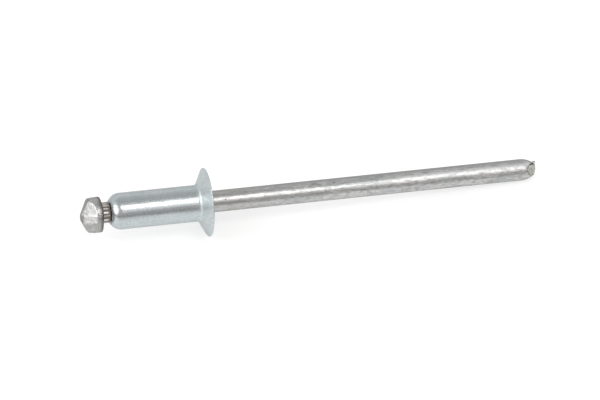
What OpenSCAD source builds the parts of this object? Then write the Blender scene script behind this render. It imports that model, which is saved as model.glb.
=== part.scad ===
// Countersunk blind rivet: a hollow body with a headed mandrel through it.
// The origin is the centre of the outer face of the body's head. The mandrel's stem runs along +X and
// slopes down a little, because the rivet lies on the head's rim and on the end of the stem. +Z is up.

/* [Rivet body] */
// Diameter of the shank, which fills the drilled hole
shank_d = 4.8; // [4:0.1:6.4]
// Length of the body, from the outer face of its head to its nose
body_length = 12.9; // [8:0.1:30]
// Diameter of the countersunk head
head_d = 9; // [7.6:0.1:12]
// Full angle of the cone under the head, in degrees
head_angle = 124; // [90:1:140]
// Radius that rounds the head's rim
rim_round = 0.09; // [0.03:0.01:0.25]
// Radius of the fillet between the cone and the shank
head_fillet = 0.6; // [0.1:0.05:1.2]
// Radius that rounds the nose
nose_round = 1.7; // [0.4:0.05:2.2]
// How much wider than the bore the mouth in the nose is, on the radius
mouth_flare = 0.17; // [0.05:0.01:0.4]
// Depth to which the mouth narrows to the bore
mouth_depth = 0.35; // [0.1:0.05:1]
// Bevel at the bore's end in the head
bore_bevel = 0.08; // [0.02:0.01:0.2]

/* [Mandrel] */
// Diameter of the mandrel's wire
mandrel_d = 2.82; // [1.8:0.02:3.4]
// Radial clearance between the mandrel and the bore
bore_clearance = 0.05; // [0.01:0.01:0.12]
// Length of the stem, from the outer face of the body's head to its tip
stem_length = 44.6; // [20:0.1:70]
// Length of neck between the body's nose and the mandrel's head
neck_length = 1; // [0.6:0.05:3]
// Number of ribs round the neck
rib_count = 16; // [8:1:24]
// Length of the ribs, measured from the mandrel's head
rib_length = 0.8; // [0.3:0.05:1.5]
// Depth of the grooves between the ribs
rib_depth = 0.14; // [0.04:0.01:0.2]
// Turn of the first groove round the mandrel, in degrees
rib_turn = 16; // [0:1:22]
// Width of the notch where the mandrel breaks off
notch_width = 0.7; // [0.3:0.05:1]
// Depth of that notch
notch_depth = 0.25; // [0.05:0.05:0.5]

/* [Mandrel head] */
// How much slimmer than the shank the mandrel's head is, on the radius, so that both pass one hole
mandrel_head_step = 0.07; // [0:0.01:0.4]
// Length of the mandrel's head
mandrel_head_length = 2.9; // [2.4:0.05:4]
// Height of the cone on the head's underside
underside_height = 0.22; // [0.1:0.02:0.5]
// Radius that rounds the edge of the underside
underside_round = 0.2; // [0.04:0.01:0.2]
// Length over which the head narrows towards its end
shoulder_length = 1.65; // [1.1:0.05:1.7]
// How far from the end that narrowing stops
shoulder_stop = 0.75; // [0.3:0.05:0.9]
// How much the head narrows there, on the radius
shoulder_narrowing = 0.15; // [0.05:0.01:0.6]

/* [Pinched ends] */
// Turn of the pinched faces round the mandrel, in degrees from straight up
pinch_turn = 57; // [0:1:180]
// Angle between the mandrel's axis and the pinched faces of its head
head_slope = 47; // [35:1:60]
// Angle between the two halves of a pinched face
crease_angle = 28; // [4:1:40]
// Angle between the axis and the two faces that close the head's end
end_slope = 62; // [50:1:75]
// Distance from the middle of the blunt end to its four edges
blunt_r = 0.33; // [0.1:0.01:0.6]
// How far the middle of the blunt end lies off the axis, along the pinched faces
end_shift = 0.22; // [0:0.01:0.5]
// Angle between the axis and the pinched faces of the tip
tip_slope = 41; // [32:1:60]
// Distance from the axis to the tip's two pinched faces, at its edge
tip_edge = 0.05; // [0.02:0.01:0.3]
// Length over which the stem narrows to its tip
tip_length = 2.1; // [1:0.1:3]
// How much the stem narrows there, on the radius
tip_narrowing = 0.85; // [0.1:0.05:1]
// Angle between the axis and the face at the lower end of the tip's edge
corner_slope = 68; // [45:1:80]
// Distance from the axis to that face, at the tip
corner_r = 0.1; // [0:0.05:0.7]

/* [Burr along the upper side of the tip's face] */
// How far the burr's outside lies in from the wire's surface
burr_sink = 0.41; // [0.3:0.01:0.6]
// Width of the burr, along the tip's edge
burr_width = 0.24; // [0.1:0.02:0.4]
// How far the burr stands out of the pinched face
burr_height = 0.18; // [0.05:0.01:0.3]
// Length of the burr, along the pinched face
burr_length = 0.9; // [0.4:0.05:1.1]
// How far short of the tip's edge the burr stops
burr_stop = 0.05; // [0:0.01:0.2]

/* [Hidden] */
$fn = 96;

// Steps in each arc of the two profiles
arc_steps = 12;
// Side of the blocks that cut the pinched faces
cutter = 12;
// A square rod, edge inwards, cuts a groove of V section
groove_sides = 4;
// How far the grooves run on past both ends of the ribs
groove_runout = 0.12;
// Depth of the burr's root in the stem
burr_root = 0.25;

shank_r = shank_d / 2;
head_r = head_d / 2;
mandrel_r = mandrel_d / 2;
bore_r = mandrel_r + bore_clearance;
mouth_r = bore_r + mouth_flare;
mandrel_head_r = shank_r - mandrel_head_step;

half_angle = head_angle / 2;
rim_end_r = head_r - rim_round + rim_round * cos(half_angle);
rim_end_z = -rim_round - rim_round * sin(half_angle);
cone_z = rim_end_z - (rim_end_r - shank_r) / tan(half_angle);
fillet_z = cone_z - head_fillet * tan(half_angle / 2);

nose_z = -body_length;
nose_sweep = nose_round > shank_r - mouth_r ? acos(1 - (shank_r - mouth_r) / nose_round) : 90;
nose_arc_z = nose_z + nose_round * sin(nose_sweep);

underside_z = nose_z - neck_length;
head_edge_z = underside_z - underside_height;
head_end_z = underside_z - mandrel_head_length;
notch_z = underside_z + rib_length;

taper_z = stem_length - tip_length;
taper_round = (tip_length * tip_length + tip_narrowing * tip_narrowing) / (2 * tip_narrowing);
taper_sweep = asin(tip_length / taper_round);

// The rim and the stem's last full circle touch the surface that the rivet lies on
rest_tilt = atan((head_r - mandrel_r) / (taper_z + rim_round));

// Points of an arc about (r, z), by the direction in which each point lies from the centre
function arc(r, z, radius, from, to) =
    [for (i = [0:arc_steps])
        let (a = from + (to - from) * i / arc_steps)
        [r + radius * cos(a), z + radius * sin(a)]];

// Lays the upright rivet down: its +Z becomes the stem's direction, and its +X points up
module lay_down() rotate([0, 90 + rest_tilt, 0]) rotate([0, 0, 180]) children();

// Puts a shape on a face that leans in towards the end of a rod, which is at z = 0 and points down.
// turn is the side that the face is on, slope its angle to the axis, and edge_r its distance at z = 0
module on_face(turn, slope, edge_r)
    rotate([0, 0, turn]) translate([edge_r, 0, 0]) rotate([0, slope, 0]) children();

module leaning_cut(turn, slope, edge_r) on_face(turn, slope, edge_r)
    translate([0, -cutter / 2, -cutter / 2]) cube(cutter);

module body_profile() polygon(concat(
    [[bore_r + bore_bevel, 0]],
    arc(head_r - rim_round, -rim_round, rim_round, 90, -half_angle),
    arc(shank_r + head_fillet, fillet_z, head_fillet, 180 - half_angle, 180),
    arc(shank_r - nose_round, nose_arc_z, nose_round, 0, -nose_sweep),
    [[mouth_r, nose_z], [bore_r, nose_z + mouth_depth], [bore_r, -bore_bevel]]
));

module mandrel_profile() polygon(concat(
    [[0, stem_length]],
    arc(mandrel_r - taper_round, taper_z, taper_round, taper_sweep, 0),
    [
        [mandrel_r, notch_z + notch_width],
        [mandrel_r - notch_depth, notch_z + notch_width * 2 / 3],
        [mandrel_r - notch_depth, notch_z + notch_width / 3],
        [mandrel_r, notch_z],
        [mandrel_r, underside_z]
    ],
    arc(mandrel_head_r - underside_round, head_edge_z - underside_round, underside_round, 90, 0),
    [
        [mandrel_head_r, head_end_z + shoulder_length],
        [mandrel_head_r - shoulder_narrowing, head_end_z + shoulder_stop],
        [mandrel_head_r - shoulder_narrowing, head_end_z],
        [0, head_end_z]
    ]
));

module neck_grooves()
    for (i = [0:rib_count - 1])
        rotate([0, 0, rib_turn + i * 360 / rib_count])
            translate([mandrel_r, 0, underside_z - groove_runout])
                cylinder(r = rib_depth, h = rib_length + 2 * groove_runout, $fn = groove_sides);

module head_cuts() translate([0, 0, head_end_z]) {
    for (side = [0, 180], half = [-1, 1])
        leaning_cut(pinch_turn + side + half * crease_angle / 2, head_slope, blunt_r);
    leaning_cut(pinch_turn + 90, end_slope, blunt_r + end_shift);
    leaning_cut(pinch_turn + 270, end_slope, blunt_r - end_shift);
}

module at_tip() translate([0, 0, stem_length]) mirror([0, 0, 1]) children();

module tip_cuts() at_tip() {
    leaning_cut(pinch_turn, tip_slope, tip_edge);
    leaning_cut(pinch_turn + 180, tip_slope, tip_edge);
    leaning_cut(pinch_turn + 90, corner_slope, corner_r);
}

module burr() at_tip() on_face(pinch_turn, tip_slope, tip_edge)
    translate([-burr_root, burr_sink - mandrel_r, burr_stop])
        cube([burr_root + burr_height, burr_width, burr_length]);

module rivet_body() color([0.8, 0.84, 0.85])
    lay_down() rotate_extrude() body_profile();

module mandrel() color([0.64, 0.63, 0.61]) lay_down() {
    difference() {
        rotate_extrude() mandrel_profile();
        neck_grooves();
        head_cuts();
        tip_cuts();
    }
    burr();
}

rivet_body();
mandrel();
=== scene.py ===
"""Looks of the countersunk blind rivet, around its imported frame.

Lengths below are in millimetres and turned into metres where a mesh, lamp or camera is made. A place on
the rivet is given as its distance along the axis, positive towards the stem's tip, its radius, and its
turn round the axis, in degrees from straight up towards the camera's side.
"""
import math

import bpy
import numpy as np
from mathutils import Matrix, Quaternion, Vector, noise


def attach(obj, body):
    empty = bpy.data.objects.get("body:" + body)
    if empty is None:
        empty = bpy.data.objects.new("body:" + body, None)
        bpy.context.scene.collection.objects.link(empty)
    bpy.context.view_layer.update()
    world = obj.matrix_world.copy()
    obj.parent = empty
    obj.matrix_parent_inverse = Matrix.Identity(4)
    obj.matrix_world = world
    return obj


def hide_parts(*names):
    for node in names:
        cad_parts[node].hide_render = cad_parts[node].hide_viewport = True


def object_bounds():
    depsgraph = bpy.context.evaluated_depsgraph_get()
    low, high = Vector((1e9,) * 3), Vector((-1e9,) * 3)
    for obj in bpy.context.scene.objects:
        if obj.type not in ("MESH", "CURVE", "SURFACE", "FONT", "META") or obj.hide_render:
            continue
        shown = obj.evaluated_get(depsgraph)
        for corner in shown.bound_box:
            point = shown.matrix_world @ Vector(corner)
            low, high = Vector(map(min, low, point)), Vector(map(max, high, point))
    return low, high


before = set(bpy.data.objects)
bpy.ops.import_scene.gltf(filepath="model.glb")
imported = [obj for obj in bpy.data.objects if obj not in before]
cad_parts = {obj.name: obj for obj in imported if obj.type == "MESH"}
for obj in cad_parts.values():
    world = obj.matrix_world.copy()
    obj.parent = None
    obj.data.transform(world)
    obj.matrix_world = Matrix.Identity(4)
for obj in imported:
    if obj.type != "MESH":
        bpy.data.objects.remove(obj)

MM = 0.001
CAD_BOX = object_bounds()
FLOOR = CAD_BOX[0].z

# The rivet's axes in the row's frame: it lies on its rim and on its tip, so the stem slopes down
TILT = math.radians(4.14967)
ALONG = np.array([math.cos(TILT), 0, -math.sin(TILT)])
UP = np.array([math.sin(TILT), 0, math.cos(TILT)])
SIDE = np.array([0.0, -1.0, 0.0])

# Rivet body
SHANK_R = 2.4
BODY_LENGTH = 12.9
HEAD_R = 4.5
HALF_ANGLE = 62
RIM_ROUND = 0.09
HEAD_FILLET = 0.6
NOSE_ROUND = 1.7
BORE_R = 1.46
MOUTH_R = 1.63
MOUTH_BEVEL = 0.03
MOUTH_DEPTH = 0.35
BORE_BEVEL = 0.08
BODY_COLUMNS = 256
BODY_STEP = 0.4

# Mandrel
WIRE_R = 1.41
TIP = 44.6
UNDERSIDE = -13.9
HEAD_END = -16.8
MANDREL_HEAD_R = 2.33
UNDERSIDE_HEIGHT = 0.22
UNDERSIDE_ROUND = 0.2
SHOULDER_LENGTH = 1.65
SHOULDER_STOP = 0.75
SHOULDER_NARROWING = 0.15
TIP_LENGTH = 2.1
TIP_NARROWING = 0.85

# The neck: its ribs, which fade out over RIB_FADE, and the break notch
RIBS = 16
RIB_LENGTH = 0.8
RIB_DEPTH = 0.14
RIB_TURN = 16
RIB_FADE = 0.06
RIBS_END = UNDERSIDE + RIB_LENGTH + RIB_FADE
NOTCH_WIDTH = 0.7
NOTCH_DEPTH = 0.25
NOTCH_END = UNDERSIDE + RIB_LENGTH + NOTCH_WIDTH
# How bright each rib is painted, by turn from the first one: a painted highlight on the ribs that catch the
# light. The same values give wear: ribs with low values are lower by up to RIB_WEAR
FIRST_RIB = 4.75
RIB_PAINTED_HIGHLIGHT_AND_WEAR = (0.35, 0.65, 1, 0.2, 0.9, 0.5, 0.3, 0.7, 0.4, 0.8, 0.3, 0.6, 0.9, 0.4, 0.7, 0.4)
RIB_WEAR = 0.07
# The grooves have their full depth up to DEEP_SPAN degrees from DEEP_TURN, and SHALLOW_SHARE of it from
# SHALLOW_SPAN degrees on
DEEP_TURN, DEEP_SPAN, SHALLOW_SPAN = 72, 60, 75
SHALLOW_SHARE = 0.45

# Pinched faces, each as (turn, slope to the axis, distance from the axis at the rod's end)
PINCH = 57
HEAD_SLOPE, HALF_CREASE, BLUNT_R = 47, 14, 0.33
END_SLOPE, END_SHIFT = 62, 0.22
HEAD_FACES = [(PINCH + side + half, HEAD_SLOPE, BLUNT_R)
              for side in (0, 180) for half in (-HALF_CREASE, HALF_CREASE)]
HEAD_FACES += [(PINCH + 90, END_SLOPE, BLUNT_R + END_SHIFT), (PINCH + 270, END_SLOPE, BLUNT_R - END_SHIFT)]
TIP_SLOPE, TIP_EDGE = 41, 0.05
CORNER_SLOPE, CORNER_R = 68, 0.1
TIP_FACES = [(PINCH, TIP_SLOPE, TIP_EDGE), (PINCH + 180, TIP_SLOPE, TIP_EDGE),
             (PINCH + 90, CORNER_SLOPE, CORNER_R)]
# Farther out than any place on the mandrel, and the least radius of a section
FAR, LEAST_R = 9.0, 0.015
# How much a pinched face has to take off before the surface there counts as cut
CUT_MARGIN = 0.005

# How softly each end is pinched: the blend from face to face, the blend from the faces to the rod, and
# the rounding of the very end
HEAD_EASE, TIP_EASE = 0.08, 0.03
HEAD_SOFTNESS = (0.06, 0.16, HEAD_EASE)
TIP_SOFTNESS = (0.02, 0.03, TIP_EASE)

# The head was forged a little off the wire's axis: down, and towards the camera's side
HEAD_OFFSET = np.array([-0.115, 0.112])
# Dents of the forging die, each as (depth, number of them to a millimetre), which fade out at the neck
DENTS = ((0.03, 1.7), (0.018, 4.1))
DENT_FADE = 0.25

# The burr along the upper side of the tip's face, which rises a little towards the stem
BURR_SINK, BURR_RISE = 0.41, 0.12
BURR_WIDTH, BURR_HEIGHT, BURR_ROOT = 0.24, 0.18, 0.25
BURR_STOP, BURR_LENGTH = 0.05, 0.9
# It slumps over a share of its length, its top is wavy, and powers make its ends and sides full. At its
# very ends it keeps END_SHARE of its size
BURR_SLUMP, SLUMP_SHARE = 0.12, 0.6
WAVE_HEIGHT, WAVE_TURN = 0.02, 9
END_POWER, SIDE_POWER = 6, 0.6
END_SHARE = 0.03
BURR_ROWS, BURR_COLUMNS = 20, 32

# The mandrel's mesh: its columns, and its zones, each as (start, end, step between the sections). It is
# finest at the two ends and where the rounding of the underside's edge starts
MANDREL_COLUMNS = 288
EDGE_START, EDGE_END = -14.46, -14.28
TIP_FINE = 0.04
MANDREL_ZONES = [
    (HEAD_END, HEAD_END + HEAD_EASE, 0.016), (HEAD_END + HEAD_EASE, EDGE_START, 0.04),
    (EDGE_START, EDGE_END, 0.02), (EDGE_END, UNDERSIDE, 0.03), (UNDERSIDE, RIBS_END, 0.04),
    (RIBS_END, NOTCH_END, 0.05), (NOTCH_END, 0, 1.6), (0, TIP - TIP_LENGTH, 0.7),
    (TIP - TIP_LENGTH, TIP - TIP_FINE, 0.035), (TIP - TIP_FINE, TIP, 0.01)]
# The mandrel's metals, in the order of its material slots
WIRE, FORGED, SHEARED, TORN, BORDER = range(5)
# Width of the border round the sheared faces, in rows and in columns of the mesh
BORDER_ROWS, BORDER_COLUMNS = 4, 3
# Edges stay sharp where two faces meet at more than this, in degrees
SHARP_ANGLE = 34

# The camera: its direction from the rivet, its distance, its lens, and how far to the right of the origin
# and above it, in the picture, the point lies that the camera aims at
CAMERA_AZIMUTH, CAMERA_ELEVATION = -13.73, 40.94
CAMERA_DISTANCE = 570
CAMERA_LENS = 263.2
AIM_RIGHT, AIM_UP = 12.115, 0.278

# The studio, in metres, with the softboxes round the rivet's middle
LIT_MIDDLE = Vector((0.014, 0, 0))
SOFTBOX_DISTANCE = 0.8
ROOM_RADIUS, ROOM_RINGS, ROOM_COLUMNS = 4.5, 16, 64
FLOOR_HALF = 3.0
FLOOR_GREY, FLOOR_GLOW = 0.5, 0.6
FLOOR_ROUGHNESS, FLOOR_IOR = 0.2, 1.24
WORLD_GREY = 0.6
# Light of the walls by height, in front of the rivet and behind it. The two blend where the direction's Y
# is within WALL_BLEND of 0
FRONT_LEVELS = [(0, 0.15), (0.05, 0.26), (0.14, 0.43), (0.3, 0.515), (0.45, 0.53), (0.75, 0.52), (1, 0.56)]
REAR_LEVELS = [(0, 0.72), (0.15, 0.84), (0.35, 0.9), (0.55, 0.87), (0.75, 0.72), (0.9, 0.58), (1, 0.56)]
FRONT_TINT = (1.045, 1, 0.985)
WALL_BLEND = 0.25

# Colours of the zinc plating
ZINC_DULL, ZINC_PALE = (0.535, 0.585, 0.60), (0.57, 0.607, 0.624)
ZINC_HEAD, ZINC_RIM = (0.635, 0.68, 0.685), (0.5, 0.54, 0.545)
ZINC_MARK, ZINC_SPOT = (0.41, 0.46, 0.47), (0.40, 0.45, 0.47)

# Colours of the wire and of its neck
STEEL_PALE, STEEL_STREAK = (0.64, 0.646, 0.636), (0.495, 0.515, 0.52)
# STEEL_SHADE is painted shade for the wire's upper rear side
STEEL_SHADE, STEEL_MARK = (0.4, 0.4, 0.395), (0.34, 0.34, 0.335)
STEEL_STAIN, STEEL_PIT = (0.45, 0.433, 0.41), (0.2, 0.195, 0.19)
# STEEL_PAINTED_HIGHLIGHT is a painted highlight along the wire's upper side towards the tip
STEEL_PAINTED_HIGHLIGHT = (0.78, 0.79, 0.79)
# RIB_HIGHLIGHT is a painted highlight on the ribs that catch the light, RIB_DARK the ribs without it
RIB_DARK, RIB_HIGHLIGHT = (0.27, 0.25, 0.235), (0.95, 0.93, 0.90)
# GROOVE_SHADE is painted shade in the neck's grooves
# RIB_NOSE_SHADOW is a painted shadow of the body's nose on the ribs
RIB_NOSE_SHADOW, GROOVE_SHADE = (0.33, 0.30, 0.28), (0.17, 0.145, 0.125)
NOTCH = (0.5, 0.46, 0.43)

# Colours of the forged head
FORGED_DARK, FORGED_PALE = (0.38, 0.382, 0.378), (0.54, 0.542, 0.535)
# FORGED_LOW_SHADE is painted shade on the head's lowest side
FORGED_SPOT, FORGED_LOW_SHADE = (0.33, 0.33, 0.325), (0.33, 0.328, 0.322)
# FORGED_LIT_FACET is painted light on the head's paler face
FORGED_LIT_FACET, FORGED_UNDERSIDE = (0.7, 0.69, 0.68), (0.62, 0.61, 0.59)
# FORGED_END_SHADE and FORGED_END_FACE_SHADE are painted shade on the blunt end and on the nearer end face
FORGED_END_SHADE, FORGED_END_FACE_SHADE = (0.27, 0.262, 0.255), (0.3, 0.29, 0.285)
# UNDERSIDE_EDGE_SHADE is painted shade round the edge of the head's underside
UNDERSIDE_EDGE_SHADE = (0.17, 0.165, 0.155)

# Colours of the cut tip
SHEARED_PALE, SHEARED_SPECK = (0.62, 0.622, 0.578), (0.33, 0.332, 0.305)
BORDER_PALE, BORDER_FOLD = (0.36, 0.36, 0.34), (0.18, 0.18, 0.165)
BORDER_SHADE = (0.04, 0.038, 0.033)
TORN_BRIGHT, TORN_DULL = (0.78, 0.78, 0.74), (0.5, 0.5, 0.47)
TORN_END, BURR_SHADE = (0.1, 0.1, 0.092), (0.05, 0.047, 0.04)

# Turns of the head's lowest side, of the wire's side with painted shade, and of the burr's side of the tip
LOW_TURN = 139
SHADED_SIDE_TURN = -41
BURR_TURN = PINCH - 90


def direction(azimuth, elevation):
    """Unit vector towards a place round the object: azimuth 0 is the -Y side, 90 is +X."""
    a, e = math.radians(azimuth), math.radians(elevation)
    return Vector((math.sin(a) * math.cos(e), -math.cos(a) * math.cos(e), math.sin(e)))


def make_camera():
    """The photograph's camera."""
    back = direction(CAMERA_AZIMUTH, CAMERA_ELEVATION)
    right = Vector((0, 0, 1)).cross(back).normalized()
    aim = AIM_RIGHT * right + AIM_UP * back.cross(right)
    data = bpy.data.cameras.new("camera")
    data.lens = CAMERA_LENS
    data.clip_end = 10
    camera = bpy.data.objects.new("camera", data)
    camera.location = (aim + CAMERA_DISTANCE * back) * MM
    camera.rotation_euler = (-back).to_track_quat("-Z", "Y").to_euler()
    bpy.context.collection.objects.link(camera)
    bpy.context.scene.camera = camera


def softbox(name, azimuth, elevation, wide, high, radiance, tint=(1, 1, 1), roll=0.0):
    """A softbox that covers the given angles, as seen from the rivet. It can be rolled about its middle."""
    data = bpy.data.lights.new(name, "AREA")
    data.color = tint
    data.shape = "RECTANGLE"
    data.size = 2 * SOFTBOX_DISTANCE * math.tan(math.radians(wide / 2))
    data.size_y = 2 * SOFTBOX_DISTANCE * math.tan(math.radians(high / 2))
    data.energy = 4 * radiance * data.size * data.size_y
    lamp = bpy.data.objects.new(name, data)
    outward = direction(azimuth, elevation)
    lamp.location = LIT_MIDDLE + outward * SOFTBOX_DISTANCE
    aimed = (-outward).to_track_quat("-Z", "Y")
    lamp.rotation_euler = (aimed @ Quaternion((0, 0, 1), math.radians(roll))).to_euler()
    lamp.visible_camera = False
    bpy.context.collection.objects.link(lamp)


def empty_material(name):
    """A material with no nodes yet, and the nodes and links of its tree."""
    material = bpy.data.materials.new(name)
    material.use_nodes = True
    material.node_tree.nodes.clear()
    return material, material.node_tree.nodes, material.node_tree.links


def math_node(nodes, links, operation, *values):
    """A sum, product or other operation on values, each a link or a number."""
    node = nodes.new("ShaderNodeMath")
    node.operation = operation
    for socket, value in zip(node.inputs, values):
        if isinstance(value, (int, float)):
            socket.default_value = value
        else:
            links.new(value, socket)
    return node.outputs[0]


def shown_rays(nodes, links):
    """1 for the rays that show the background: camera, glossy and transmission rays."""
    rays = nodes.new("ShaderNodeLightPath")
    seen = math_node(nodes, links, "MAXIMUM", rays.outputs["Is Camera Ray"], rays.outputs["Is Glossy Ray"])
    return math_node(nodes, links, "MAXIMUM", seen, rays.outputs["Is Transmission Ray"])


def level_ramp(nodes, links, value, levels, tint=(1, 1, 1)):
    """A grey, times a tint, that follows a value from 0 to 1 through the given levels."""
    ramp = nodes.new("ShaderNodeValToRGB")
    while len(ramp.color_ramp.elements) < len(levels):
        ramp.color_ramp.elements.new(0.5)
    for stop, (at, level) in zip(ramp.color_ramp.elements, levels):
        stop.position = at
        stop.color = (*(level * part for part in tint), 1)
    links.new(value, ramp.inputs[0])
    return ramp.outputs[0]


def make_world():
    """White for the rays that show the background, and a mid grey as light."""
    world = bpy.data.worlds.new("studio")
    world.use_nodes = True
    nodes, links = world.node_tree.nodes, world.node_tree.links
    nodes.clear()
    light = nodes.new("ShaderNodeBackground")
    light.inputs["Color"].default_value = (WORLD_GREY, WORLD_GREY, WORLD_GREY, 1)
    white = nodes.new("ShaderNodeBackground")
    white.inputs["Color"].default_value = (1, 1, 1, 1)
    mix = nodes.new("ShaderNodeMixShader")
    links.new(shown_rays(nodes, links), mix.inputs[0])
    links.new(light.outputs[0], mix.inputs[1])
    links.new(white.outputs[0], mix.inputs[2])
    out = nodes.new("ShaderNodeOutputWorld")
    links.new(mix.outputs[0], out.inputs["Surface"])
    bpy.context.scene.world = world


def ring_faces(rows, columns, closed):
    """Quads between rings of vertices. The last ring meets the first one where the profile is closed."""
    faces = []
    for i in range(rows if closed else rows - 1):
        here, there = i * columns, (i + 1) % rows * columns
        for j in range(columns):
            k = (j + 1) % columns
            faces.append((here + j, here + k, there + k, there + j))
    return faces


def wall_material():
    """The light of the studio's walls: dim and a little warm behind the camera, darkest just above the
    floor, and paler behind the rivet."""
    material, nodes, links = empty_material("studio_walls")
    place = nodes.new("ShaderNodeTexCoord")
    unit = nodes.new("ShaderNodeVectorMath")
    unit.operation = "NORMALIZE"
    links.new(place.outputs["Object"], unit.inputs[0])
    split = nodes.new("ShaderNodeSeparateXYZ")
    links.new(unit.outputs[0], split.inputs[0])
    front = level_ramp(nodes, links, split.outputs["Z"], FRONT_LEVELS, FRONT_TINT)
    rear = level_ramp(nodes, links, split.outputs["Z"], REAR_LEVELS)
    behind = nodes.new("ShaderNodeMapRange")
    behind.interpolation_type = "SMOOTHSTEP"
    behind.inputs["From Min"].default_value = -WALL_BLEND
    behind.inputs["From Max"].default_value = WALL_BLEND
    links.new(split.outputs["Y"], behind.inputs["Value"])
    both = nodes.new("ShaderNodeMix")
    both.data_type = "RGBA"
    links.new(behind.outputs[0], both.inputs["Factor"])
    links.new(front, both.inputs["A"])
    links.new(rear, both.inputs["B"])
    glow = nodes.new("ShaderNodeEmission")
    links.new(both.outputs["Result"], glow.inputs["Color"])
    out = nodes.new("ShaderNodeOutputMaterial")
    links.new(glow.outputs[0], out.inputs["Surface"])
    return material


def make_room():
    """The studio's walls: a dome that the camera looks through."""
    vertices = []
    for i in range(ROOM_RINGS):
        rise = 0.5 * math.pi * i / ROOM_RINGS
        for j in range(ROOM_COLUMNS):
            t = 2 * math.pi * j / ROOM_COLUMNS
            vertices.append((ROOM_RADIUS * math.cos(rise) * math.cos(t),
                             ROOM_RADIUS * math.cos(rise) * math.sin(t),
                             FLOOR + ROOM_RADIUS * math.sin(rise)))
    faces = ring_faces(ROOM_RINGS, ROOM_COLUMNS, closed=False)
    faces.append(tuple((ROOM_RINGS - 1) * ROOM_COLUMNS + j for j in range(ROOM_COLUMNS)))
    mesh = bpy.data.meshes.new("studio_room")
    mesh.from_pydata(vertices, [], faces)
    mesh.materials.append(wall_material())
    room = bpy.data.objects.new("studio_room", mesh)
    room.visible_camera = False
    bpy.context.collection.objects.link(room)


def floor_material():
    """White acrylic, which takes the rivet's shadow and mirrors the walls at low angles."""
    material, nodes, links = empty_material("floor_white")
    acrylic = nodes.new("ShaderNodeBsdfDiffuse")
    acrylic.inputs["Color"].default_value = (FLOOR_GREY, FLOOR_GREY, FLOOR_GREY, 1)
    glow = nodes.new("ShaderNodeEmission")
    level = math_node(nodes, links, "MULTIPLY", shown_rays(nodes, links), FLOOR_GLOW)
    links.new(level, glow.inputs["Strength"])
    both = nodes.new("ShaderNodeAddShader")
    links.new(acrylic.outputs[0], both.inputs[0])
    links.new(glow.outputs[0], both.inputs[1])
    gloss = nodes.new("ShaderNodeBsdfGlossy")
    gloss.inputs["Roughness"].default_value = FLOOR_ROUGHNESS
    fresnel = nodes.new("ShaderNodeFresnel")
    fresnel.inputs["IOR"].default_value = FLOOR_IOR
    glazed = nodes.new("ShaderNodeMixShader")
    links.new(fresnel.outputs[0], glazed.inputs[0])
    links.new(both.outputs[0], glazed.inputs[1])
    links.new(gloss.outputs[0], glazed.inputs[2])
    out = nodes.new("ShaderNodeOutputMaterial")
    links.new(glazed.outputs[0], out.inputs["Surface"])
    return material


def make_floor():
    """The floor, one square."""
    half = FLOOR_HALF
    mesh = bpy.data.meshes.new("floor")
    mesh.from_pydata([(-half, -half, FLOOR), (half, -half, FLOOR), (half, half, FLOOR),
                      (-half, half, FLOOR)], [], [(0, 1, 2, 3)])
    mesh.materials.append(floor_material())
    floor = bpy.data.objects.new("floor", mesh)
    bpy.context.collection.objects.link(floor)


def facing(turn):
    """Unit vector out from the axis, at a turn."""
    return math.cos(math.radians(turn)) * UP + math.sin(math.radians(turn)) * SIDE


def on_rivet(along, radius, turn):
    """Point of the row's frame, in metres, for a place on the rivet. Takes arrays as well."""
    along, radius, turn = np.broadcast_arrays(along, radius, np.radians(turn))
    spread = np.cos(turn)[..., None] * UP + np.sin(turn)[..., None] * SIDE
    return (along[..., None] * ALONG + radius[..., None] * spread) * MM


def arc(radius, along, bend, start, end, steps=14):
    """Points of an arc about (radius, along), from one direction to another, in degrees."""
    turns = np.radians(np.linspace(start, end, steps + 1))
    return [(radius + bend * math.cos(t), along + bend * math.sin(t)) for t in turns]


def evened(points, longest):
    """The same line with no step longer than the given length."""
    out = [points[0]]
    for (r0, s0), (r1, s1) in zip(points, points[1:]):
        count = max(1, math.ceil(math.hypot(r1 - r0, s1 - s0) / longest))
        out += [(r0 + (r1 - r0) * i / count, s0 + (s1 - s0) * i / count) for i in range(1, count + 1)]
    return out


def make_object(name, vertices, faces, materials, material_index=None):
    """A smooth-shaded object that keeps its sharp edges."""
    mesh = bpy.data.meshes.new(name)
    mesh.from_pydata([tuple(v) for v in vertices], [], faces)
    mesh.validate()
    for material in materials:
        mesh.materials.append(material)
    if material_index is not None:
        mesh.polygons.foreach_set("material_index", material_index)
    mesh.polygons.foreach_set("use_smooth", [True] * len(mesh.polygons))
    mesh.set_sharp_from_angle(angle=math.radians(SHARP_ANGLE))
    piece = bpy.data.objects.new(name, mesh)
    bpy.context.collection.objects.link(piece)
    return piece


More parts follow.
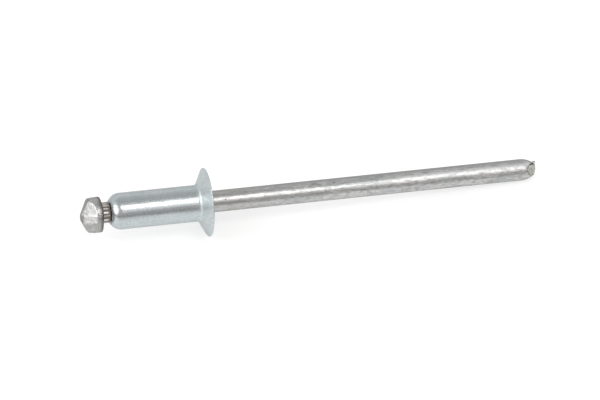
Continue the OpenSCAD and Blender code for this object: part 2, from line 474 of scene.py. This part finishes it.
def body_profile():
    """The rivet body's profile, as (radius, along) from the bore's end in the head, round its outside."""
    rim_r = HEAD_R - RIM_ROUND
    half = math.radians(HALF_ANGLE)
    rim_end_r = rim_r + RIM_ROUND * math.cos(half)
    rim_end = -RIM_ROUND - RIM_ROUND * math.sin(half)
    cone = rim_end - (rim_end_r - SHANK_R) / math.tan(half)
    fillet = cone - HEAD_FILLET * math.tan(half / 2)
    sweep = math.acos(1 - (SHANK_R - MOUTH_R) / NOSE_ROUND)
    nose = -BODY_LENGTH + NOSE_ROUND * math.sin(sweep)
    profile = [(BORE_R + BORE_BEVEL, 0)]
    profile += arc(rim_r, -RIM_ROUND, RIM_ROUND, 90, -HALF_ANGLE)
    profile += arc(SHANK_R + HEAD_FILLET, fillet, HEAD_FILLET, 180 - HALF_ANGLE, 180)
    profile += arc(SHANK_R - NOSE_ROUND, nose, NOSE_ROUND, 0, -math.degrees(sweep), steps=24)
    return profile + [(MOUTH_R - MOUTH_BEVEL, -BODY_LENGTH + MOUTH_BEVEL),
                      (BORE_R, -BODY_LENGTH + MOUTH_DEPTH), (BORE_R, -BORE_BEVEL)]


def make_rivet_body(material):
    """The formed steel body: a revolved profile with its bore open from end to end."""
    line = np.array(evened(body_profile(), BODY_STEP))
    turns = np.arange(BODY_COLUMNS) * 360 / BODY_COLUMNS
    vertices = on_rivet(line[:, 1:], line[:, :1], turns).reshape(-1, 3)
    faces = ring_faces(len(line), BODY_COLUMNS, closed=True)
    piece = make_object("rivet_body_fine", vertices, faces, [material])
    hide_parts("rivet_body")
    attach(piece, "root")


def mandrel_profile():
    """The mandrel before its ends are pinched, as (radius, along) from the head's end to the tip."""
    bend = (TIP_LENGTH ** 2 + TIP_NARROWING ** 2) / (2 * TIP_NARROWING)
    sweep = math.degrees(math.asin(TIP_LENGTH / bend))
    slim = MANDREL_HEAD_R - SHOULDER_NARROWING
    edge = UNDERSIDE - UNDERSIDE_HEIGHT
    points = [(slim, HEAD_END), (slim, HEAD_END + SHOULDER_STOP),
              (MANDREL_HEAD_R, HEAD_END + SHOULDER_LENGTH)]
    points += arc(MANDREL_HEAD_R - UNDERSIDE_ROUND, edge - UNDERSIDE_ROUND, UNDERSIDE_ROUND, 0, 90)
    points += [(WIRE_R, UNDERSIDE), (WIRE_R, UNDERSIDE + RIB_LENGTH),
               (WIRE_R - NOTCH_DEPTH, UNDERSIDE + RIB_LENGTH + NOTCH_WIDTH / 3),
               (WIRE_R - NOTCH_DEPTH, UNDERSIDE + RIB_LENGTH + NOTCH_WIDTH * 2 / 3),
               (WIRE_R, NOTCH_END)]
    points += arc(WIRE_R - bend, TIP - TIP_LENGTH, bend, 0, sweep)
    return np.array(points)


def soft_min(a, b, blend):
    """The lesser of two values, with the corner between them rounded."""
    near = np.maximum(blend - np.abs(a - b), 0) / blend
    return np.minimum(a, b) - near * near * blend / 4


def face_distance(turns, depth, faces, blend):
    """Radius at which each direction meets the pinched faces, at a depth from the rod's end."""
    reach = np.full_like(turns, FAR)
    for turn, slope, edge in faces:
        slant = np.cos(np.radians(turns - turn))
        meets = (edge + depth * math.tan(math.radians(slope))) / np.maximum(slant, 1e-4)
        reach = soft_min(reach, np.where(slant > 1e-3, meets, FAR), blend)
    return reach


def end_ease(depth, ease):
    """How far a section draws in just before a rod's end, so that the edge is rounded."""
    left = np.clip(1 - depth / ease, 0, 1)
    return ease * (1 - np.sqrt(1 - left * left))


def pinched(radius, turns, depth, faces, softness):
    """A section cut by pinched faces, at a depth from the rod's end, and where a face makes it."""
    face_blend, rod_blend, ease = softness
    reach = face_distance(turns, depth, faces, face_blend)
    cut = reach < radius - CUT_MARGIN
    return soft_min(radius, reach, rod_blend) - end_ease(depth, ease), cut


def hammered(turns, along, radius):
    """Small dents of the forging die on the mandrel's head."""
    dents = np.empty_like(turns)
    for i, (turn, r) in enumerate(zip(np.radians(turns), radius)):
        place = Vector((r * math.cos(turn), r * math.sin(turn), along))
        dents[i] = sum(depth * noise.noise(place * scale) for depth, scale in DENTS)
    return dents


def groove_depth(turns):
    """Depth of the neck's grooves in each direction, where dull ribs are worn down as well."""
    away = np.abs((turns - DEEP_TURN + 180) % 360 - 180)
    depth = RIB_DEPTH * np.interp(away, [DEEP_SPAN, SHALLOW_SPAN], [1, SHALLOW_SHARE])
    groove = depth * (0.5 + 0.5 * np.cos(RIBS * np.radians(turns - RIB_TURN)))
    rib = (turns - FIRST_RIB) * RIBS / 360 % RIBS
    painted_highlight_and_wear = np.interp(rib, range(RIBS + 1), RIB_PAINTED_HIGHLIGHT_AND_WEAR + RIB_PAINTED_HIGHLIGHT_AND_WEAR[:1])
    return np.maximum(groove, RIB_WEAR * (1 - painted_highlight_and_wear))


def section(along, profile_r, turns):
    """Radius of the mandrel in each direction, and where a pinched face makes it."""
    radius = np.full_like(turns, profile_r)
    cut = np.zeros(len(turns), bool)
    if along < UNDERSIDE:
        radius, cut = pinched(radius, turns, along - HEAD_END, HEAD_FACES, HEAD_SOFTNESS)
        radius = radius + min(1, (UNDERSIDE - along) / DENT_FADE) * hammered(turns, along, radius)
    elif along < RIBS_END:
        radius = radius - groove_depth(turns) * min(1, (RIBS_END - along) / RIB_FADE)
    elif along > TIP - TIP_LENGTH:
        radius, cut = pinched(radius, turns, TIP - along, TIP_FACES, TIP_SOFTNESS)
    return np.maximum(radius, LEAST_R), cut


def offset_at(along):
    """How far the middle of the mandrel's section lies off the axis: only the head's does."""
    return np.interp(along, [UNDERSIDE - UNDERSIDE_HEIGHT, UNDERSIDE], [1, 0]) * HEAD_OFFSET


def even_section(along, profile_r):
    """A section's vertices: evenly spaced in each quarter between the pinched faces' directions."""
    fine, quarter = 12, MANDREL_COLUMNS // 4
    turns = PINCH + np.arange(MANDREL_COLUMNS * fine + 1) * 360 / (MANDREL_COLUMNS * fine)
    radius, cut = section(along, profile_r, turns)
    x, y = radius * np.cos(np.radians(turns)), radius * np.sin(np.radians(turns))
    length = np.concatenate([[0], np.cumsum(np.hypot(np.diff(x), np.diff(y)))])
    picks = []
    for i in range(4):
        start, end = length[i * quarter * fine], length[(i + 1) * quarter * fine]
        picks.append(start + (end - start) * np.arange(quarter) / quarter)
    picks = np.concatenate(picks)
    turn = np.interp(picks, length, turns)
    return np.interp(picks, length, radius), turn, np.interp(picks, length, cut.astype(float)) > 0.5


def spaced(zones):
    """Places along the axis, in zones given as (start, end, step)."""
    out = []
    for start, end, step in zones:
        count = max(1, round((end - start) / step))
        out += [start + (end - start) * i / count for i in range(count)]
    return out + [zones[-1][1]]


def mandrel_rings(places):
    """The mandrel's sections as rings of vertices, and which of these a pinched face makes."""
    profile = mandrel_profile()
    rings, cuts = [], []
    for along in places:
        radius, turn, cut = even_section(along, np.interp(along, profile[:, 1], profile[:, 0]))
        off = offset_at(along)
        rings.append(on_rivet(along, radius, turn) + (off[0] * UP + off[1] * SIDE) * MM)
        cuts.append(cut)
    return rings, cuts


def side_metals(places, cuts):
    """The metal of each quad between the rings. The tip's sheared faces have a border."""
    index = []
    for i in range(len(places) - 1):
        plain = FORGED if places[i] < UNDERSIDE - 0.01 else WIRE
        sheared = cuts[i] & cuts[i + 1] & (places[i] > 0)
        inner = cuts[max(i - BORDER_ROWS, 0)].copy()
        for shift in (-BORDER_COLUMNS, BORDER_COLUMNS):
            inner &= np.roll(cuts[i], shift)
        index += list(np.where(sheared, np.where(inner, SHEARED, BORDER), plain))
    return index


def burr_rings():
    """The bar of metal pushed up along the upper side of the tip's face, as rings of vertices."""
    slope = math.radians(TIP_SLOPE)
    outward, across = facing(PINCH), facing(BURR_TURN)
    back = outward * math.sin(slope) - ALONG * math.cos(slope)
    out = outward * math.cos(slope) + ALONG * math.sin(slope)
    half_wide, half_high = BURR_WIDTH / 2, (BURR_HEIGHT + BURR_ROOT) / 2
    vertices = []
    for share in np.linspace(0, 1, BURR_ROWS):
        swell = (1 - abs(2 * share - 1) ** END_POWER) ** 0.5 + END_SHARE
        aside = WIRE_R - BURR_SINK - half_wide + BURR_RISE * share
        sunk = BURR_SLUMP * max(0, 1 - share / SLUMP_SHARE) ** 2
        middle = (TIP * ALONG + TIP_EDGE * outward + (BURR_STOP + BURR_LENGTH * share) * back
                  + aside * across + (BURR_HEIGHT - half_high - sunk) * out)
        for t in np.arange(BURR_COLUMNS) * 2 * math.pi / BURR_COLUMNS:
            wide = math.copysign(abs(math.cos(t)) ** SIDE_POWER, math.cos(t)) * half_wide * swell
            high = math.copysign(abs(math.sin(t)) ** SIDE_POWER, math.sin(t)) * half_high * swell
            high += WAVE_HEIGHT * math.sin(WAVE_TURN * share)
            vertices.append((middle + wide * across + high * out) * MM)
    return vertices


def make_mandrel(metals):
    """The headed wire: one mesh of sections, with its pinched head, ribbed neck and cut tip."""
    places = spaced(MANDREL_ZONES)
    rings, cuts = mandrel_rings(places)
    columns = MANDREL_COLUMNS
    vertices = list(np.concatenate(rings))
    faces = ring_faces(len(rings), columns, closed=False)
    index = side_metals(places, cuts)
    for ring, metal in ((0, FORGED), (len(rings) - 1, SHEARED)):
        middle = len(vertices)
        vertices.append(rings[ring].mean(axis=0))
        for j in range(columns):
            a, b = ring * columns + j, ring * columns + (j + 1) % columns
            faces.append((b, a, middle) if ring == 0 else (a, b, middle))
        index += [metal] * columns
    first, last = len(vertices), len(vertices) + (BURR_ROWS - 1) * BURR_COLUMNS
    vertices += burr_rings()
    burr = [tuple(first + v for v in face) for face in ring_faces(BURR_ROWS, BURR_COLUMNS, closed=False)]
    burr.append(tuple(first + j for j in reversed(range(BURR_COLUMNS))))
    burr.append(tuple(last + j for j in range(BURR_COLUMNS)))
    index += [TORN] * len(burr)
    piece = make_object("mandrel_fine", vertices, faces + burr, metals, index)
    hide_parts("mandrel")
    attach(piece, "root")


class Metal:
    """A metal material whose nodes work in millimetres, with X along the rivet."""

    def __init__(self, name, edge):
        """edge is how much of its gloss the metal keeps where it is seen at a slant."""
        self.material, self.nodes, self.links = empty_material(name)
        self.shader = self.nodes.new("ShaderNodeBsdfPrincipled")
        self.shader.inputs["Metallic"].default_value = 1
        self.shader.inputs["Specular Tint"].default_value = (edge, edge, edge, 1)
        out = self.nodes.new("ShaderNodeOutputMaterial")
        self.links.new(self.shader.outputs[0], out.inputs["Surface"])
        place = self.nodes.new("ShaderNodeTexCoord")
        turned = self.nodes.new("ShaderNodeMapping")
        turned.inputs["Rotation"].default_value = (0, -TILT, 0)
        turned.inputs["Scale"].default_value = (1 / MM, 1 / MM, 1 / MM)
        self.links.new(place.outputs["Object"], turned.inputs["Vector"])
        self.place = turned.outputs[0]

    def noise(self, scale, detail, roughness=0.5, stretch=(1, 1, 1)):
        """Noise with the given number of features to a millimetre."""
        stretched = self.nodes.new("ShaderNodeMapping")
        stretched.inputs["Scale"].default_value = stretch
        self.links.new(self.place, stretched.inputs["Vector"])
        texture = self.nodes.new("ShaderNodeTexNoise")
        texture.inputs["Scale"].default_value = scale
        texture.inputs["Detail"].default_value = detail
        texture.inputs["Roughness"].default_value = roughness
        self.links.new(stretched.outputs[0], texture.inputs["Vector"])
        return texture.outputs["Fac"]

    def fit(self, value, low, high, to_low=0.0, to_high=1.0):
        """A value carried from one range to another, with soft ends."""
        node = self.nodes.new("ShaderNodeMapRange")
        node.interpolation_type = "SMOOTHSTEP"
        for key, number in (("From Min", low), ("From Max", high), ("To Min", to_low), ("To Max", to_high)):
            node.inputs[key].default_value = number
        self.links.new(value, node.inputs["Value"])
        return node.outputs[0]

    def along(self):
        """Distance along the rivet."""
        split = self.nodes.new("ShaderNodeSeparateXYZ")
        self.links.new(self.place, split.inputs[0])
        return split.outputs["X"]

    def towards(self, turn):
        """Distance from the axis in the direction of a turn."""
        dot = self.nodes.new("ShaderNodeVectorMath")
        dot.operation = "DOT_PRODUCT"
        self.links.new(self.place, dot.inputs[0])
        dot.inputs[1].default_value = (0, -math.sin(math.radians(turn)), math.cos(math.radians(turn)))
        return dot.outputs["Value"]

    def turn(self):
        """Turn round the axis, in radians, from straight up towards the camera's side."""
        split = self.nodes.new("ShaderNodeSeparateXYZ")
        self.links.new(self.place, split.inputs[0])
        return self.join("ARCTAN2", self.join("MULTIPLY", split.outputs["Y"], -1), split.outputs["Z"])

    def radius(self):
        """Distance from the rivet's axis."""
        flat = self.nodes.new("ShaderNodeVectorMath")
        flat.operation = "MULTIPLY"
        self.links.new(self.place, flat.inputs[0])
        flat.inputs[1].default_value = (0, 1, 1)
        length = self.nodes.new("ShaderNodeVectorMath")
        length.operation = "LENGTH"
        self.links.new(flat.outputs[0], length.inputs[0])
        return length.outputs["Value"]

    def join(self, operation, *values):
        """A sum, product or other operation on values, each a link or a number."""
        return math_node(self.nodes, self.links, operation, *values)

    def product(self, first, *others):
        """The product of two values or more."""
        for value in others:
            first = self.join("MULTIPLY", first, value)
        return first

    def mix(self, a, share_a, b, share_b):
        """The sum of two values, each times its share."""
        return self.join("ADD", self.join("MULTIPLY", a, share_a), self.join("MULTIPLY", b, share_b))

    def blend(self, factor, a, b):
        """A colour between two, each a link or a triple."""
        node = self.nodes.new("ShaderNodeMix")
        node.data_type = "RGBA"
        self.links.new(factor, node.inputs["Factor"])
        for socket, value in ((node.inputs["A"], a), (node.inputs["B"], b)):
            if isinstance(value, tuple):
                socket.default_value = (*value, 1)
            else:
                self.links.new(value, socket)
        return node.outputs["Result"]

    def finish(self, colour, roughness, height, bump, depth):
        """Joins the colour, the roughness and the bump to the shader."""
        self.links.new(colour, self.shader.inputs["Base Color"])
        self.links.new(roughness, self.shader.inputs["Roughness"])
        node = self.nodes.new("ShaderNodeBump")
        node.inputs["Strength"].default_value = bump
        node.inputs["Distance"].default_value = depth * MM
        self.links.new(height, node.inputs["Height"])
        self.links.new(node.outputs[0], self.shader.inputs["Normal"])
        return self.material


def zinc():
    """Bright zinc plating: a pale, faintly bluish satin with fine marks along the shank. It is paler and
    rougher on the head, and darker on the rim."""
    m = Metal("zinc_plating", edge=0.78)
    patches = m.noise(0.35, 3)
    marks = m.noise(1.0, 4, 0.6, stretch=(0.35, 5, 5))
    grain = m.noise(9, 2)
    spots = m.noise(3.2, 3, 0.6)
    head_start, rim_start = (-1.9, -1.2), (-0.16, -0.08)
    tint = m.blend(m.fit(patches, 0.35, 0.65), ZINC_DULL, ZINC_PALE)
    tint = m.blend(m.fit(m.along(), *head_start), tint, ZINC_HEAD)
    tint = m.blend(m.fit(m.along(), *rim_start), tint, ZINC_RIM)
    colour = m.blend(m.fit(marks, 0.5, 0.75, to_high=0.8), tint, ZINC_MARK)
    colour = m.blend(m.fit(spots, 0.4, 0.75, to_high=0.6), colour, ZINC_SPOT)
    satin = m.fit(m.mix(marks, 0.6, grain, 0.4), 0.3, 0.7, 0.21, 0.33)
    roughness = m.join("ADD", satin, m.fit(m.along(), *head_start, to_high=0.15))
    return m.finish(colour, roughness, m.mix(marks, 0.5, patches, 1.6), bump=0.75, depth=0.022)


def neck_colour(m):
    """The neck's ribs, each with a stronger or weaker painted highlight, painted shade in its brown grooves,
    a painted shadow of the body's nose towards it, and its matt notch.
    """
    turned = m.product(m.join("SUBTRACT", m.turn(), math.radians(FIRST_RIB)), 0.5 / math.pi)
    stops = [(i / RIBS, RIB_PAINTED_HIGHLIGHT_AND_WEAR[i % RIBS]) for i in range(RIBS + 1)]
    # painted highlight per rib, from the table
    painted_highlight_and_wear = level_ramp(m.nodes, m.links, m.join("FRACT", m.join("ADD", turned, 1)), stops)
    # painted shadow of the body's nose on the ribs next to it
    at_foot = m.fit(m.along(), -13.5, -13.2)
    # painted shade in the grooves, below the crests
    on_crest = m.fit(m.radius(), WIRE_R - 0.12, WIRE_R - 0.03)
    in_notch = m.fit(m.along(), NOTCH_END - NOTCH_WIDTH, NOTCH_END - NOTCH_WIDTH + 0.08)
    ribs = m.blend(at_foot, m.blend(painted_highlight_and_wear, RIB_DARK, RIB_HIGHLIGHT), RIB_NOSE_SHADOW)
    return m.blend(in_notch, m.blend(on_crest, GROOVE_SHADE, ribs), NOTCH)


def drawn_wire():
    """Bare drawn steel: short marks along the wire, duller streaks and a few small pits. It is stained next
    to the body, has painted shade along its upper rear side, and a painted highlight beside that towards the
    tip."""
    m = Metal("drawn_wire", edge=0.62)
    marks = m.noise(1.0, 3, 0.6, stretch=(0.8, 5, 5))
    streaks = m.noise(1.0, 3, 0.6, stretch=(0.2, 1.6, 1.6))
    grain = m.noise(3.4, 3, 0.6, stretch=(0.5, 1, 1))
    pits = m.noise(2.6, 1, stretch=(0.6, 1, 1))
    aside = m.towards(SHADED_SIDE_TURN)
    # painted shade along the wire's upper rear side, mottled by the grain
    upper_shade = m.product(m.fit(aside, 0.92, 1.2), m.fit(grain, 0.4, 0.6, 1, 0.5))
    # painted highlight: a pale band beside the painted shade, from 18 mm on towards the tip
    painted_highlight_and_wear = m.product(m.fit(aside, 0.2, 0.5), m.fit(aside, 0.7, 0.95, 1, 0),
                       m.fit(m.along(), 18, 32, to_high=0.85),
                       m.fit(m.join("MAXIMUM", marks, grain), 0.5, 0.7, 1, 0.55))
    on_stem = m.fit(m.along(), NOTCH_END, NOTCH_END + 0.2)
    tint = m.blend(m.fit(streaks, 0.35, 0.65), STEEL_PALE, STEEL_STREAK)
    # the painted shade
    tint = m.blend(upper_shade, tint, STEEL_SHADE)
    colour = m.blend(m.fit(marks, 0.45, 0.7, to_high=0.9), tint, STEEL_MARK)
    colour = m.blend(m.fit(grain, 0.45, 0.7, to_high=0.8), colour, STEEL_MARK)
    colour = m.blend(m.fit(m.along(), 3, 9, 0.45, 0), colour, STEEL_STAIN)
    # the painted highlight
    colour = m.blend(painted_highlight_and_wear, colour, STEEL_PAINTED_HIGHLIGHT)
    colour = m.blend(m.fit(pits, 0.74, 0.79), colour, STEEL_PIT)
    colour = m.blend(on_stem, neck_colour(m), colour)
    smoother = m.fit(m.along(), 4, 18, -0.055, 0)
    rougher = m.fit(m.along(), 22, 40, 0, 0.025)
    roughness = m.join("ADD", m.fit(marks, 0.3, 0.7, 0.37, 0.41), m.join("ADD", smoother, rougher))
    return m.finish(colour, roughness, m.mix(marks, 0.8, grain, 0.8), bump=0.26, depth=0.035)


def on_end_face(m):
    """Where the nearer of the two faces that close the head's end is, from 0 to 1. It meets the end at
    edge, counted from the wire's axis."""
    edge = -0.05
    depth = m.product(m.join("SUBTRACT", m.along(), HEAD_END), math.tan(math.radians(END_SLOPE)))
    return m.fit(m.join("SUBTRACT", m.towards(PINCH + 270), depth), edge - 0.2, edge - 0.04)


def forged_head():
    """The forged head: matt and uneven, with small dents. One face is paler and mottled, painted light where
    the lamps fall on it. The lowest side, the blunt end and the nearer end face are darkened with painted
    shade, and so is a ring round the underside's edge."""
    m = Metal("forged_head", edge=0.75)
    dents = m.noise(1.7, 3, 0.6)
    grain = m.noise(8, 3, 0.6)
    spots = m.noise(3.4, 2, 0.6)
    mottling = m.noise(2.6, 2, 0.6)
    aside = m.towards(LOW_TURN)
    # low marks the head's lowest side, which gets painted shade
    low = m.fit(aside, 1.15, 1.45)
    # painted light on one face of the head
    lit_facet = m.product(m.fit(aside, 0.05, 0.3), m.fit(m.along(), -15.1, -14.8, 1, 0),
                      m.join("SUBTRACT", 1, low), m.fit(mottling, 0.38, 0.62, 1, 0.3))
    # painted shade on the head's blunt end
    off_end = m.fit(m.along(), -16.65, -16.25)
    # painted shade round the underside's edge
    edge_shade = m.product(m.fit(m.along(), -14.7, -14.25), m.fit(m.radius(), 2.0, 2.15))
    underside = m.product(m.fit(m.along(), -14.3, -14.2), m.fit(m.radius(), 1.9, 2.1, 1, 0))
    colour = m.blend(m.fit(dents, 0.37, 0.63), FORGED_DARK, FORGED_PALE)
    colour = m.blend(m.fit(spots, 0.45, 0.65, to_high=0.5), colour, FORGED_SPOT)
    colour = m.blend(lit_facet, colour, FORGED_LIT_FACET)
    # painted shade on the lowest side
    colour = m.blend(m.product(low, m.fit(grain, 0.4, 0.6, to_high=0.7)), colour, FORGED_LOW_SHADE)
    colour = m.blend(off_end, FORGED_END_SHADE, colour)
    # painted shade on the nearer end face
    colour = m.blend(on_end_face(m), colour, FORGED_END_FACE_SHADE)
    colour = m.blend(edge_shade, colour, UNDERSIDE_EDGE_SHADE)
    colour = m.blend(underside, colour, FORGED_UNDERSIDE)
    roughness = m.fit(grain, 0.3, 0.7, 0.3, 0.44)
    return m.finish(colour, roughness, m.mix(dents, 0.7, grain, 0.3), bump=0.5, depth=0.05)


def sheared_tip():
    """The sheared faces of the tip: rough, speckled, faintly greenish, with a painted shadow beside the
    burr.
    """
    m = Metal("sheared_tip", edge=0.8)
    grain = m.noise(5, 3, 0.7)
    specks = m.noise(3.4, 2, 0.6)
    colour = m.blend(m.fit(specks, 0.45, 0.65), SHEARED_PALE, SHEARED_SPECK)
    # painted shadow beside the burr
    colour = m.blend(m.fit(m.towards(BURR_TURN), 0.52, 0.68), colour, BURR_SHADE)
    roughness = m.fit(grain, 0.3, 0.7, 0.4, 0.55)
    return m.finish(colour, roughness, grain, bump=0.7, depth=0.05)


def sheared_border():
    """The border of the sheared faces, where the metal folded over and stayed matt, with a painted shadow
    beside the burr.
    """
    m = Metal("sheared_border", edge=0.8)
    folds = m.noise(4, 3, 0.6)
    colour = m.blend(m.fit(folds, 0.4, 0.65), BORDER_PALE, BORDER_FOLD)
    # painted shadow beside the burr
    colour = m.blend(m.fit(m.towards(BURR_TURN), 0.5, 0.68), colour, BORDER_SHADE)
    roughness = m.fit(folds, 0.3, 0.7, 0.4, 0.55)
    return m.finish(colour, roughness, folds, bump=0.6, depth=0.05)


def torn_metal():
    """The burr: fresh bright metal, torn and rough, with painted shade on the side of the sheared face, and
    dark at its end.
    """
    m = Metal("torn_metal", edge=0.55)
    tears = m.noise(4, 3, 0.6)
    colour = m.blend(m.fit(tears, 0.4, 0.7), TORN_BRIGHT, TORN_DULL)
    # painted shade on the burr's side towards the sheared face
    colour = m.blend(m.fit(m.towards(BURR_TURN), 0.8, 0.9), BURR_SHADE, colour)
    colour = m.blend(m.fit(m.along(), TIP - 0.38, TIP - 0.18), colour, TORN_END)
    roughness = m.fit(tears, 0.3, 0.7, 0.35, 0.5)
    return m.finish(colour, roughness, tears, bump=0.6, depth=0.05)


make_camera()
make_world()
make_room()
softbox("softbox_front", azimuth=26.2, elevation=57.5, wide=42, high=19, radiance=2.55, roll=-34)
softbox("softbox_front_skirt", azimuth=25, elevation=39.25, wide=42, high=16, radiance=0.42, tint=FRONT_TINT)
softbox("softbox_left", azimuth=-74, elevation=31, wide=45, high=38, radiance=1.9)
make_floor()
make_rivet_body(zinc())
make_mandrel([drawn_wire(), forged_head(), sheared_tip(), torn_metal(), sheared_border()])

bpy.context.scene.view_settings.view_transform = "Standard"
